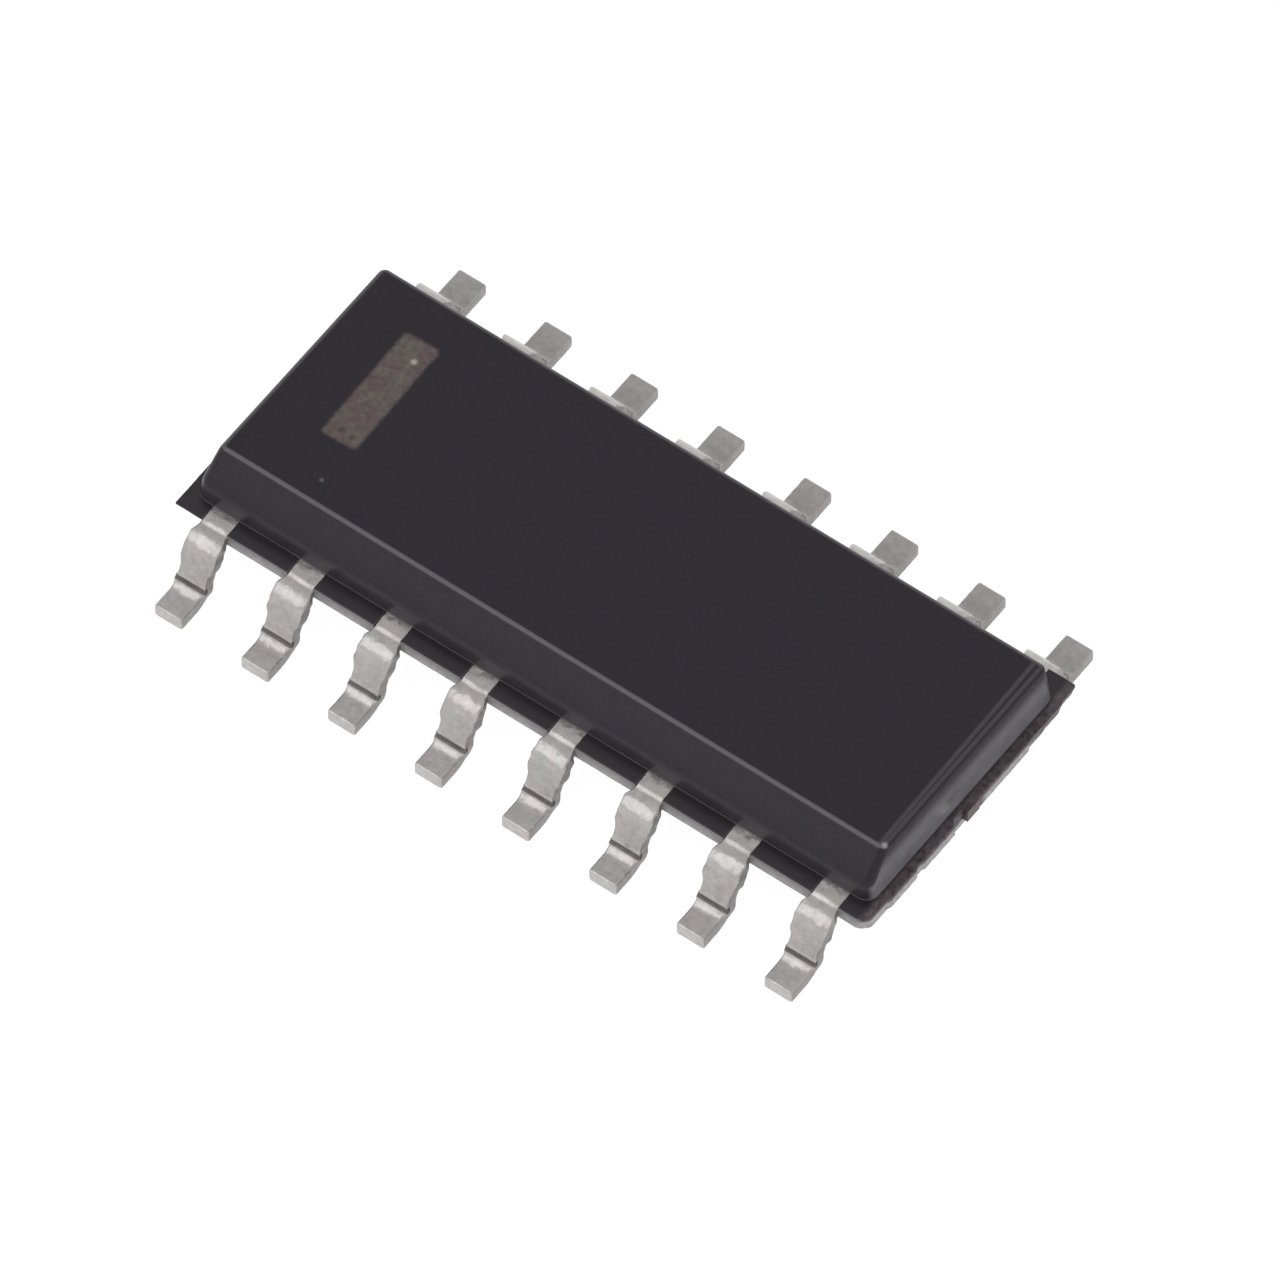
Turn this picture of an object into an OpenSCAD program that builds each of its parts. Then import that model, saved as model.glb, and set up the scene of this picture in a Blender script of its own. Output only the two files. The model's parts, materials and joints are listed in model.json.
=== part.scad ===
// Transistor array in a small-outline moulded package: an epoxy body, two rows of gull-wing
// leads, and the die, its paddle and its bond wires sealed inside. Sizes are in millimetres.
// The feet stand on z = 0, +X runs along the body, and pin 1 is at the -X end of the -Y side.

/* [Body] */
// Length of the moulded body at its parting line
body_l = 9.84; // [9.6:0.02:10.2]
// Width of the moulded body at its parting line
body_w = 3.71; // [3.5:0.01:4.0]
// Height of the body above the leads
upper_h = 0.62; // [0.6:0.01:0.75]
// Depth of the body below the leads
lower_h = 0.525; // [0.45:0.005:0.6]
// Draft of the mould walls, in degrees
draft = 7.5; // [4:0.5:10]
// Plan radius of the body's upright corners
corner_r = 0.17; // [0.17:0.01:0.4]
// Radius along the body's top and bottom edges
edge_r = 0.09; // [0.04:0.01:0.1]
// Height and width of the bevel along the pin 1 side
bevel = 0.37; // [0.2:0.01:0.42]
// Reach of the mould flash past the long sides, between the leads
flash_side = 0.25; // [0.1:0.01:0.3]
// Reach of the mould flash past the ends
flash_end = 0.15; // [0.05:0.01:0.2]

/* [Leads] */
// Distance from one lead to the next
pitch = 1.27; // [1.2:0.01:1.3]
// Width of a lead
lead_w = 0.4; // [0.35:0.01:0.49]
// Thickness of the lead frame
lead_t = 0.2; // [0.17:0.01:0.25]
// Gap between the body and the board
standoff = 0.175; // [0.1:0.005:0.25]
// Straight run of a lead past the flash, before its first bend
shoulder = 0.01; // [0.01:0.01:0.1]
// Inside radius of the bend at the shoulder
shoulder_r = 0.12; // [0.1:0.01:0.25]
// Slope of the leg between the bends, in degrees
leg_angle = 67; // [60:1:78]
// Inside radius of the bend at the heel
heel_r = 0.2; // [0.15:0.01:0.3]
// Radius of the groove that the forming tool leaves across the top of the heel
groove_r = 0.03; // [0.02:0.005:0.05]
// Slope of the heel where the groove lies, in degrees
groove_angle = 55; // [45:1:58]
// Flat length of the foot, past the heel
foot_l = 0.265; // [0.1:0.005:0.4]
// How far a sheared dam bar stub stands out of each side of a lead
stub = 0.04; // [0.01:0.01:0.06]
// How far a stub runs down the leg from the bend
stub_run = 0.15; // [0.05:0.01:0.2]

/* [Die and paddle] */
// Length of the die paddle
paddle_l = 3.3; // [3:0.05:3.5]
// Width of the die paddle
paddle_w = 2.2; // [2:0.05:2.3]
// How far the paddle lies below the leads
downset = 0.15; // [0.1:0.01:0.2]
// Width of the bars that tie the paddle to the ends of the body
tie_w = 0.24; // [0.2:0.01:0.3]
// Length of the die
die_l = 2.2; // [2:0.05:2.6]
// Width of the die
die_w = 1.5; // [1.4:0.05:1.8]
// Thickness of the die
die_t = 0.28; // [0.2:0.01:0.3]
// Thickness of the bonding layer under the die
attach_t = 0.03; // [0.02:0.005:0.05]
// Margin of the bonding layer around the die
attach_edge = 0.06; // [0.04:0.01:0.1]

/* [Bond wires] */
// Width of a lead's inner finger
finger_w = 0.3; // [0.24:0.01:0.34]
// Gap between the paddle and the inner fingers
finger_gap = 0.25; // [0.2:0.01:0.3]
// Distance between bond pads along the die's long sides
pad_pitch = 0.45; // [0.35:0.01:0.5]
// Distance between bond pads along the die's ends
end_pad_pitch = 0.28; // [0.22:0.01:0.3]
// Distance of the bond pads from the die's edge
pad_edge = 0.1; // [0.08:0.01:0.15]
// Diameter of a bond wire
wire_d = 0.05; // [0.03:0.005:0.06]
// Rise of a wire's loop above the straight line between its ends
wire_loop = 0.2; // [0.15:0.01:0.22]
// Diameter of the bond at each end of a wire
bond_d = 0.12; // [0.1:0.01:0.14]
// Height of the bond at each end of a wire
bond_h = 0.06; // [0.05:0.005:0.08]

/* [Hidden] */
$fn = 48;
side_pins = 8;
pins = 2 * side_pins;
body_color = [0.2, 0.19, 0.21];
tin_color = [0.74, 0.73, 0.71];
copper_color = [0.78, 0.52, 0.36];
attach_color = [0.6, 0.6, 0.58];
die_color = [0.36, 0.38, 0.42];
gold_color = [0.93, 0.74, 0.32];

// Heights of the lead frame's two faces
lead_low = standoff + lower_h;
lead_top = lead_low + lead_t;
// Half sizes of the flash, and where the first bend of a lead starts
flash_x = body_l / 2 + flash_end;
flash_y = body_w / 2 + flash_side;
bend_y = flash_y + shoulder;
// The leg takes up the drop that the bends leave
shoulder_top_r = shoulder_r + lead_t;
bends_r = shoulder_top_r + heel_r;
leg_l = (lead_low - bends_r * (1 - cos(leg_angle))) / sin(leg_angle);
heel_y = bend_y + bends_r * sin(leg_angle) + leg_l * cos(leg_angle);
// The dam bar stubs start this far round the bend, clear of the flash
stub_start = 20;
// Steps in a rounded edge
edge_steps = 6;
// The middle fingers run straight in, and the outer ones turn at the elbow towards the paddle's end
straight_pins = 4;
elbow_in = 0.3;
elbow_y = body_w / 2 - elbow_in;
tie_gap = 0.16;
tip_x = paddle_l / 2 + finger_gap;
tip_y = paddle_w / 2 + finger_gap;
tip_slope = 1.2;
// A wire lands this far from the end of its finger
landing = 0.15;
// The tie bars rise to the level of the leads over this length
tie_flat = 0.15;
tie_rise = 0.3;
paddle_low = lead_low - downset;
attach_low = paddle_low + lead_t;
die_low = attach_low + attach_t;
die_top = die_low + die_t;
// Cuts reach this far past the faces that they open
past = 1;

function two_digits(n) = str(n < 10 ? "0" : "", n);
function lead_name(i) = str("lead_", two_digits(i));
function wire_name(i) = str("bond_wire_", two_digits(i));

// Places of the pins: pin 1 to 8 along the -Y side, then 9 to 16 back along the +Y side
function pin_column(i) = (i <= side_pins ? i - 1 : pins - i) - (side_pins - 1) / 2;
function pin_side(i) = i <= side_pins ? -1 : 1;
// Columns are counted outwards from the middle of a row: 0.5, 1.5, 2.5, 3.5
function column(i) = abs(pin_column(i));
function is_straight(i) = column(i) < straight_pins / 2;
function from_end(i) = (side_pins - 1) / 2 - column(i);

// Where a finger ends and where its wire lands, in the +X +Y quarter
function elbow(i) = [column(i) * pitch, elbow_y];
function tip(i) = is_straight(i)
    ? [column(i) * pitch, tip_y]
    : [tip_x, tie_w / 2 + tie_gap + finger_w / 2 + from_end(i) * (finger_w + tie_gap) * tip_slope];
function unit(v) = v / norm(v);
function inward(i) = unit(tip(i) - elbow(i));
function landing_at(i) = tip(i) - landing * inward(i);
function pad_at(i) = is_straight(i)
    ? [column(i) * pad_pitch, die_w / 2 - pad_edge]
    : [die_l / 2 - pad_edge, (from_end(i) + 0.5) * end_pad_pitch];

// Points of an arc from one angle to another
function arc(centre, r, from, to) =
    [for (s = [0:edge_steps]) let (a = from + (to - from) * s / edge_steps) centre + r * [cos(a), sin(a)]];

// Turns what is made for the +X +Y quarter into the quarter of a pin
module quarter_of(i) {
    mirror([pin_column(i) < 0 ? 1 : 0, 0, 0])
        mirror([0, pin_side(i) < 0 ? 1 : 0, 0])
            children();
}

// Half section of a drafted wall with a rounded edge, out to r at its foot, for a height h
module wall_section(r, h) {
    edge_x = r - h * tan(draft) - edge_r * tan(45 - draft / 2);
    polygon(concat([[0, 0], [r, 0]], arc([edge_x, h - edge_r], edge_r, draft, 90), [[0, h]]));
}

// Both halves of the section, r to either side, run along for a length
module wall_run(r, h, run) {
    rotate([90, 0, 0])
        linear_extrude(run, center = true) {
            wall_section(r, h);
            mirror([1, 0]) wall_section(r, h);
        }
}

// Drafted block with round upright corners and a rounded edge, on the parting face
module half_block(h) {
    inner_x = body_l / 2 - corner_r;
    inner_y = body_w / 2 - corner_r;
    wall_run(body_l / 2, h, 2 * inner_y);
    rotate([0, 0, 90]) wall_run(body_w / 2, h, 2 * inner_x);
    for (x = [0, 1], y = [0, 1])
        mirror([x, 0, 0]) mirror([0, y, 0])
            translate([inner_x, inner_y, 0])
                rotate_extrude(angle = 90) wall_section(corner_r, h);
}

// What the bevel takes off the pin 1 side of the upper half, with its top edge rounded
module bevel_cut() {
    foot_z = upper_h - bevel;
    foot_y = -body_w / 2 + foot_z * tan(draft);
    top_y = foot_y + bevel;
    round_y = top_y + edge_r * tan(22.5);
    rotate([90, 0, 90])
        linear_extrude(body_l + past, center = true)
            polygon(concat(
                [[round_y, upper_h + past]],
                arc([round_y, upper_h - edge_r], edge_r, 90, 135),
                [[foot_y - past, foot_z - past], [foot_y - past, upper_h + past]]
            ));
}

module upper_half() {
    difference() {
        half_block(upper_h);
        bevel_cut();
    }
}

module mold_body() {
    color(body_color)
        difference() {
            union() {
                translate([0, 0, lead_top]) upper_half();
                translate([-flash_x, -flash_y, lead_low]) cube([2 * flash_x, 2 * flash_y, lead_t]);
                translate([0, 0, lead_low]) mirror([0, 0, 1]) half_block(lower_h);
            }
            for (i = [1:pins]) {
                quarter_of(i) finger(i);
                quarter_of(i) wire_form(i);
            }
            paddle_form(past);
            attach_form();
            die_form();
        }
}

// The flat part of a lead: its shoulder, and the finger inside the body
module finger(i) {
    inner_y = is_straight(i) ? tip_y : elbow_y - finger_w / 2;
    reach = norm(tip(i) - elbow(i));
    translate([0, 0, lead_low])
        linear_extrude(lead_t) {
            translate([column(i) * pitch - lead_w / 2, inner_y]) square([lead_w, bend_y - inner_y]);
            if (!is_straight(i))
                translate(elbow(i))
                    rotate(atan2(inward(i)[1], inward(i)[0]))
                        translate([0, -finger_w / 2]) square([reach, finger_w]);
        }
}

// A sheet of the lead's thickness turned round a bend, with its inside radius r
module sheet_bend(r, angle, w) {
    rotate_extrude(angle = angle) translate([r, -w / 2]) square([lead_t, w]);
}

// A flat length of the same sheet
module strip(l, w) {
    translate([0, 0, -w / 2]) cube([l, lead_t, w]);
}

// The formed part of a lead, drawn from the side: x runs outwards and y runs up
module gull_wing() {
    translate([bend_y, lead_low - shoulder_r]) {
        rotate(90 - leg_angle) {
            sheet_bend(shoulder_r, leg_angle, lead_w);
            sheet_bend(shoulder_r, leg_angle - stub_start, lead_w + 2 * stub);
        }
        rotate(-leg_angle) translate([0, shoulder_r]) {
            strip(leg_l, lead_w);
            strip(stub_run, lead_w + 2 * stub);
        }
    }
    translate([heel_y, lead_t + heel_r])
        difference() {
            rotate(-90 - leg_angle) sheet_bend(heel_r, leg_angle, lead_w);
            rotate(-90 - groove_angle) translate([heel_r, 0])
                cylinder(r = groove_r, h = lead_w + past, center = true);
        }
    translate([heel_y, 0]) strip(foot_l, lead_w);
}

module lead(i) {
    color(tin_color)
        quarter_of(i) {
            finger(i);
            translate([column(i) * pitch, 0, 0]) rotate([90, 0, 90]) gull_wing();
        }
}

// The paddle and the stepped bars that held it in the frame, cut off so far past the flash
module paddle_form(reach) {
    tie_x = paddle_l / 2 + tie_flat;
    translate([-paddle_l / 2, -paddle_w / 2, paddle_low]) cube([paddle_l, paddle_w, lead_t]);
    for (side = [0, 1])
        mirror([side, 0, 0])
            translate([0, tie_w / 2, 0]) rotate([90, 0, 0])
                linear_extrude(tie_w)
                    polygon([
                        [0, paddle_low],
                        [tie_x, paddle_low],
                        [tie_x + tie_rise, lead_low],
                        [flash_x + reach, lead_low],
                        [flash_x + reach, lead_top],
                        [tie_x + tie_rise, lead_top],
                        [tie_x, attach_low],
                        [0, attach_low]
                    ]);
}

module die_paddle() {
    color(copper_color) paddle_form(0);
}

module attach_form() {
    l = die_l + 2 * attach_edge;
    w = die_w + 2 * attach_edge;
    translate([-l / 2, -w / 2, attach_low]) cube([l, w, attach_t]);
}

module die_attach() {
    color(attach_color) attach_form();
}

module die_form() {
    translate([-die_l / 2, -die_w / 2, die_low]) cube([die_l, die_w, die_t]);
}

module die() {
    color(die_color) die_form();
}

// A wire from its pad on the die to its finger: a bond at each end and one arc between them
module wire_form(i) {
    pad = pad_at(i);
    run = landing_at(i) - pad;
    span = norm(run);
    start_z = die_top + bond_h / 2;
    end_z = lead_top + bond_h / 2;
    chord = norm([span, end_z - start_z]);
    r = (chord * chord / 4 + wire_loop * wire_loop) / (2 * wire_loop);
    up = [start_z - end_z, span] / chord;
    centre = [span, start_z + end_z] / 2 - up * (r - wire_loop);
    from = atan2(end_z - centre[1], span - centre[0]);
    to = atan2(start_z - centre[1], -centre[0]);
    translate([pad[0], pad[1], 0])
        rotate([0, 0, atan2(run[1], run[0])]) {
            translate([0, 0, die_top]) cylinder(d = bond_d, h = bond_h);
            translate([span, 0, lead_top]) cylinder(d = bond_d, h = bond_h);
            rotate([90, 0, 0]) translate(centre) rotate(from)
                rotate_extrude(angle = to - from) translate([r, 0]) circle(d = wire_d);
        }
}

module bond_wire(i) {
    color(gold_color) quarter_of(i) wire_form(i);
}

mold_body();
for (i = [1:pins]) lead(i);
die_paddle();
die_attach();
die();
for (i = [1:pins]) bond_wire(i);
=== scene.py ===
"""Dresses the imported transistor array: its moulding, its formed leads, their finishes, a studio and a camera.

Sizes are written in millimetres, as the part is drawn, and turned into metres where a mesh is made.
"""

import json
import math
from collections import namedtuple

import bmesh
import bpy
from mathutils import Matrix, Vector, noise


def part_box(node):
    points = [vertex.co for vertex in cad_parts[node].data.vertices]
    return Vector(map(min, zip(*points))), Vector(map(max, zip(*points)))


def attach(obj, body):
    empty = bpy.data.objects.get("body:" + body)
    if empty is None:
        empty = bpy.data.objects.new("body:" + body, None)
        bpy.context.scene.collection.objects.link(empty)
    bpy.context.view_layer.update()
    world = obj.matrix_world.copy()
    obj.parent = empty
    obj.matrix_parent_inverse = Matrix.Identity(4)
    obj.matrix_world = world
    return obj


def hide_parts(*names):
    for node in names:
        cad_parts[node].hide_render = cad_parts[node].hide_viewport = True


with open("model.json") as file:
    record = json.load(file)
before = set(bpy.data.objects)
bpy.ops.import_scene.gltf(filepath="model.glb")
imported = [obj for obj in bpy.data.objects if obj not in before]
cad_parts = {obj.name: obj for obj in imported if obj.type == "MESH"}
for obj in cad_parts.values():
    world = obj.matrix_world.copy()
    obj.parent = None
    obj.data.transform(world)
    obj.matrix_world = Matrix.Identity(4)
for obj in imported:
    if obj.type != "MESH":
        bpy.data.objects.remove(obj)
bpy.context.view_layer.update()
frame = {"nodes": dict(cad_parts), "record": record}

MM = 0.001
BODY = "root"

# The moulding: its box is read from the frame, the rest repeats the solid's sizes
BODY_LOW, BODY_HIGH = (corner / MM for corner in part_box("mold_body"))
FLASH_X, FLASH_Y = BODY_HIGH.x, BODY_HIGH.y
HALF_L = 4.92
HALF_W = 1.855
DRAFT = math.radians(7.5)
CORNER_R = 0.17
EDGE_R = 0.09
BEVEL = 0.37
# The paddle's tie bars end level with the leads
LEAD_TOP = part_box("die_paddle")[1].z / MM
LEAD_T = 0.2
LEAD_LOW = LEAD_TOP - LEAD_T

# The leads: their places are the foot mounts of the record
FEET = [mount for mount in frame["record"]["mounts"] if mount["name"].startswith("foot_")]
LEAD_W = 0.4
HALF_T = LEAD_T / 2
SHOULDER = 0.01
SHOULDER_R = 0.12
LEG_ANGLE = math.radians(67)
HEEL_R = 0.2
GROOVE_R = 0.03
GROOVE_ANGLE = math.radians(55)
BEND_Y = FLASH_Y + SHOULDER
TOE_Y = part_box("lead_01")[0].y / -MM
STUB = 0.04
# A finger runs on inside the moulding, from its elbow to its tip
FINGER_W = 0.3
ELBOW_IN = 0.3
ELBOW_Y = HALF_W - ELBOW_IN


# Meshes

SHARP_ANGLE = math.radians(35)


def new_piece(name, bm, material, node):
    """Turns a mesh in millimetres into a piece that stands for a node of the frame."""
    bmesh.ops.recalc_face_normals(bm, faces=bm.faces)
    bmesh.ops.scale(bm, vec=(MM, MM, MM), verts=bm.verts)
    mesh = bpy.data.meshes.new(name)
    bm.to_mesh(mesh)
    bm.free()
    mesh.shade_smooth()
    mesh.set_sharp_from_angle(angle=SHARP_ANGLE)
    mesh.materials.append(material)
    piece = bpy.data.objects.new(name, mesh)
    bpy.context.scene.collection.objects.link(piece)
    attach(piece, BODY)
    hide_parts(node)


def skin_rings(bm, rings):
    """Joins closed rings of points, all as long as each other, by quads."""
    loops = [[bm.verts.new(point) for point in ring] for ring in rings]
    for lower, upper in zip(loops, loops[1:]):
        for i in range(len(lower)):
            j = (i + 1) % len(lower)
            bm.faces.new((lower[i], lower[j], upper[j], upper[i]))
    return loops


def close_flat(bm, loop):
    """Closes a flat ring by triangles about its middle."""
    middle = bm.verts.new((0, 0, loop[0].co.z))
    for i, vert in enumerate(loop):
        bm.faces.new((vert, loop[(i + 1) % len(loop)], middle))


def spread(start, end, step):
    """Points from start to end, about a step apart."""
    count = max(1, round(abs(end - start) / step))
    return [start + (end - start) * i / count for i in range(count + 1)]


def ease(t):
    """Rises smoothly from 0 to 1 as t does."""
    t = min(max(t, 0), 1)
    return t * t * (3 - 2 * t)


def smooth_max(a, b, width):
    """The larger of two values, rounded where they cross."""
    near = max(width - abs(a - b), 0)
    return max(a, b) + near * near / (4 * width)


# The moulding

WALL_STEP = 0.16
END_STEP = 0.03
EDGE_STEPS = 8
# A corner of the flash is three stretches of as many points each, and a corner of the walls matches it
CORNER_PARTS = 5
CORNER_STEPS = 3 * CORNER_PARTS + 1
CAP_RIM = 0.006
BEVEL_FOOT_R = 0.05
BEVEL_FOOT_STEPS = 3
WELD = 1e-5
FLASH_EDGE = 0.012
FLASH_STEP = 0.05
FLASH_SKIN = 0.003
FLASH_ROUGH = 0.004
FLASH_WAVES = 4
# The -X end of the flash is cut back a little
LEFT_CUT = 0.035
# Radius of each corner of the flash, by its side in x and y
FLASH_CORNER_R = {(1, -1): 0.15, (1, 1): 0.05, (-1, 1): 0.03, (-1, -1): 0.02}
# Where the flash is broken back at the +X end: from y, to y, depth at its top, more depth at its underside
CHIPS = (
    (-2.2, -1.66, 0.02, 0.025),
    (-1.1, -0.98, 0.015, 0.015),
    (-0.33, -0.02, 0.06, 0.0),
    (1.14, 1.8, 0.0, 0.035),
    (1.8, 2.2, 0.015, 0.055),
)
CHIP_SOFT = 0.04
# The broken edge is rough: how deep, its waves and teeth to the millimetre, and the level they swing about
CHIP_ROUGH = 0.009
CHIP_WAVES = 9
CHIP_TEETH = 31
CHIP_LEVEL = 1.5
# The teeth change this much faster than the waves from top to underside
TEETH_TURN = 3
# Places in the noise where no other rough edge reads it
WAVES_SLICE = 3
LEFT_SLICE = 9
# The flash by pin 1 is a thin tip, broken away from below
TIP = Vector((-FLASH_X, -FLASH_Y))
TIP_UNDER = 0.16
TIP_REACH = 0.48
TIP_SOFT = 0.06


def drafted_inset(t, height):
    """How far a drafted wall with a rounded edge has moved in at t above its foot."""
    centre_t = height - EDGE_R
    if t <= centre_t + EDGE_R * math.sin(DRAFT):
        return t * math.tan(DRAFT)
    centre = height * math.tan(DRAFT) + EDGE_R * math.tan(math.pi / 4 - DRAFT / 2)
    return centre - math.sqrt(max(EDGE_R ** 2 - (t - centre_t) ** 2, 0))


def bevelled_inset(t, height):
    """The same on the side with the bevel."""
    foot_t = height - BEVEL
    foot_inset = foot_t * math.tan(DRAFT)
    centre_t = height - EDGE_R
    if t <= centre_t + EDGE_R * math.cos(math.pi / 4):
        return smooth_max(t * math.tan(DRAFT), foot_inset + t - foot_t, BEVEL_FOOT_R)
    centre = foot_inset + BEVEL + EDGE_R * math.tan(math.pi / 8)
    return centre - math.sqrt(max(EDGE_R ** 2 - (t - centre_t) ** 2, 0))


def wall_heights(height):
    """Heights of the rings of one half, close together where its section curves."""
    foot = height - BEVEL
    steps = range(-BEVEL_FOOT_STEPS, BEVEL_FOOT_STEPS + 1)
    round_foot = [foot + k * BEVEL_FOOT_R / BEVEL_FOOT_STEPS for k in steps]
    angles = spread(DRAFT, math.pi / 2, math.pi / 2 / EDGE_STEPS)
    fillet = [height - EDGE_R * (1 - math.sin(a)) for a in angles]
    return [0, foot / 2, *round_foot, foot + BEVEL / 2, *fillet]


def stations(end, slots, slot_w):
    """Places along a side from -end to end, each with whether it lies in a slot of the flash."""
    places = []
    start = -end
    for centre in slots:
        left, right = centre - slot_w / 2, centre + slot_w / 2
        places += [(at, False) for at in spread(start, left, WALL_STEP)]
        places += [(left, True), (right, True)]
        start = right
    return places + [(at, False) for at in spread(start, end, WALL_STEP)]


LEAD_COLUMNS = sorted({foot["pos_m"][0] / MM for foot in FEET})
SIDE_END = HALF_L - CORNER_R
END_END = HALF_W - CORNER_R
SIDE = stations(SIDE_END, LEAD_COLUMNS, LEAD_W)
END = spread(-END_END, END_END, END_STEP)


def quarter(centre, radius, start):
    """A quarter turn about a centre, without its two ends."""
    turn = [start + math.pi / 2 * i / CORNER_STEPS for i in range(1, CORNER_STEPS)]
    return [centre + radius * Vector((math.cos(a), math.sin(a))) for a in turn]


def wall_ring(z, inset, near_inset):
    """One ring of the walls, anticlockwise from the -X end of the -Y side."""
    x, near, far = HALF_L - inset, -HALF_W + near_inset, HALF_W - inset
    radius = CORNER_R - inset
    inner_x = x - radius
    middle, half = (near + far) / 2, (far - near) / 2 - radius
    ends = [middle + half * at / END_END for at in END]
    points = [Vector((at, near)) for at, _ in SIDE]
    points += quarter(Vector((inner_x, near + radius)), radius, -math.pi / 2)
    points += [Vector((x, y)) for y in ends]
    points += quarter(Vector((inner_x, far - radius)), radius, 0)
    points += [Vector((at, far)) for at, _ in reversed(SIDE)]
    points += quarter(Vector((-inner_x, far - radius)), radius, math.pi / 2)
    points += [Vector((-x, y)) for y in reversed(ends)]
    points += quarter(Vector((-inner_x, near + radius)), radius, math.pi)
    return [(p.x, p.y, z) for p in points]


def chip(y, depth):
    """How far the flash is broken back at the +X end; depth goes from 0 at its top to 1 at its underside."""
    back = 0
    for start, end, top, under in CHIPS:
        share = ease((y - start) / CHIP_SOFT + 0.5) * ease((end - y) / CHIP_SOFT + 0.5)
        back += (top + under * depth) * share
    waves = noise.noise((y * CHIP_WAVES, depth, WAVES_SLICE))
    teeth = noise.noise((y * CHIP_TEETH, depth * TEETH_TURN, 0))
    return back + CHIP_ROUGH * max(CHIP_LEVEL + waves + teeth, 0) / 2


def tip_break(x, y, depth):
    """How far the flash is broken away under its thin tip."""
    distance = (Vector((x, y)) - TIP).length
    return TIP_UNDER * depth * ease((TIP_REACH - distance) / TIP_SOFT)


def flash_ring(z, inset):
    """One ring of the flash, with slots for the leads, its points matched to those of the walls."""
    depth = (LEAD_TOP - z) / LEAD_T

    def side_y(x, sy):
        rough = FLASH_ROUGH * (1 + noise.noise((x * FLASH_WAVES, sy, depth)))
        return FLASH_Y - inset - rough - tip_break(x, sy * FLASH_Y, depth)

    def end_x(y, sx):
        if sx > 0:
            lost = chip(y, depth)
        else:
            lost = LEFT_CUT + FLASH_ROUGH * noise.noise((y * FLASH_WAVES, LEFT_SLICE, depth))
        return FLASH_X - inset - lost - tip_break(sx * FLASH_X, y, depth)

    def side(sy):
        return [Vector((x, sy * (HALF_W if slot else side_y(x, sy)))) for x, slot in SIDE]

    def end(sx):
        return [Vector((sx * end_x(y, sx), y)) for y in END]

    def round_corner(sx, sy):
        """From the end towards the side: on along the end, round the corner, and back along the side."""
        radius = FLASH_CORNER_R[sx, sy]
        shares = [i / CORNER_PARTS for i in range(1, CORNER_PARTS + 1)]
        x = end_x(sy * (FLASH_Y - radius), sx) - radius
        y = side_y(sx * (FLASH_X - radius), sy) - radius
        ys = [sy * (END_END + (y - END_END) * share) for share in shares]
        xs = [sx * (SIDE_END + (x - SIDE_END) * share) for share in reversed(shares)]
        turn = [math.pi / 2 * (i - 0.5) / CORNER_PARTS for i in range(1, CORNER_PARTS + 1)]
        points = [Vector((sx * end_x(at, sx), at)) for at in ys]
        points += [Vector((sx * (x + radius * math.cos(a)), sy * (y + radius * math.sin(a)))) for a in turn]
        return points + [Vector((at, sy * side_y(at, sy))) for at in xs]

    points = side(-1) + round_corner(1, -1)[::-1]
    points += end(1) + round_corner(1, 1)
    points += side(1)[::-1] + round_corner(-1, 1)[::-1]
    points += end(-1)[::-1] + round_corner(-1, -1)
    return [(p.x, p.y, z) for p in points]


def molding(material):
    upper_h = BODY_HIGH.z - LEAD_TOP
    lower_h = LEAD_LOW - BODY_LOW.z
    rings = []
    for t in wall_heights(lower_h):
        inset = drafted_inset(t, lower_h)
        rings.insert(0, wall_ring(LEAD_LOW - t, inset, inset))
    rings.insert(0, wall_ring(BODY_LOW.z, inset + CAP_RIM, inset + CAP_RIM))
    flash_low, flash_top = LEAD_LOW - FLASH_SKIN, LEAD_TOP + FLASH_SKIN
    rings.append(flash_ring(flash_low, FLASH_EDGE))
    rings += [flash_ring(z, 0) for z in spread(flash_low + FLASH_EDGE, flash_top - FLASH_EDGE, FLASH_STEP)]
    rings.append(flash_ring(flash_top, FLASH_EDGE))
    for t in wall_heights(upper_h):
        inset, near_inset = drafted_inset(t, upper_h), bevelled_inset(t, upper_h)
        rings.append(wall_ring(LEAD_TOP + t, inset, near_inset))
    rings.append(wall_ring(BODY_HIGH.z, inset + CAP_RIM, near_inset + CAP_RIM))
    bm = bmesh.new()
    loops = skin_rings(bm, rings)
    close_flat(bm, loops[0])
    close_flat(bm, loops[-1])
    bmesh.ops.remove_doubles(bm, verts=bm.verts, dist=WELD)
    new_piece("molding", bm, material, "mold_body")


# The leads

LEAD_STEP = 0.015
LEAD_EDGE_R = 0.025
LEAD_EDGE_STEPS = 3
# The straight of a lead starts this far inside the moulding
LEAD_SUNK = 0.1
# A solid wider than this over all has a slanting finger, whose tip lies inside the corner of the solid's box
SLANT_W = 2 * LEAD_W
TIP_IN = FINGER_W / 4
TOE_R = 0.03
TOE_STEPS = 4
TOE_NARROWING = 0.7
SIDE_ROUGH = 0.004
SIDE_WAVES = 9
# The row on the +Y side was bent a little closer to the moulding
FAR_TUCK = 0.11
# The dam bar stub along the lead, counted from the start of the shoulder bend
STUB_RISE = (0.0, 0.12)
STUB_FALL = (0.38, 0.53)
STUB_ROUGH = 0.012
# The top face falls a little on its way to a step, which the forming tool leaves where the bend starts
FALL_DEPTH = 0.014
FALL_RUN = 0.2
STEP_DEPTH = 0.026
STEP_START = -0.055
STEP_RUN = 0.06
STEP_FADE = 0.32

BENDS_R = SHOULDER_R + LEAD_T + HEEL_R
LEG_L = (LEAD_LOW - BENDS_R * (1 - math.cos(LEG_ANGLE))) / math.sin(LEG_ANGLE)
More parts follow.
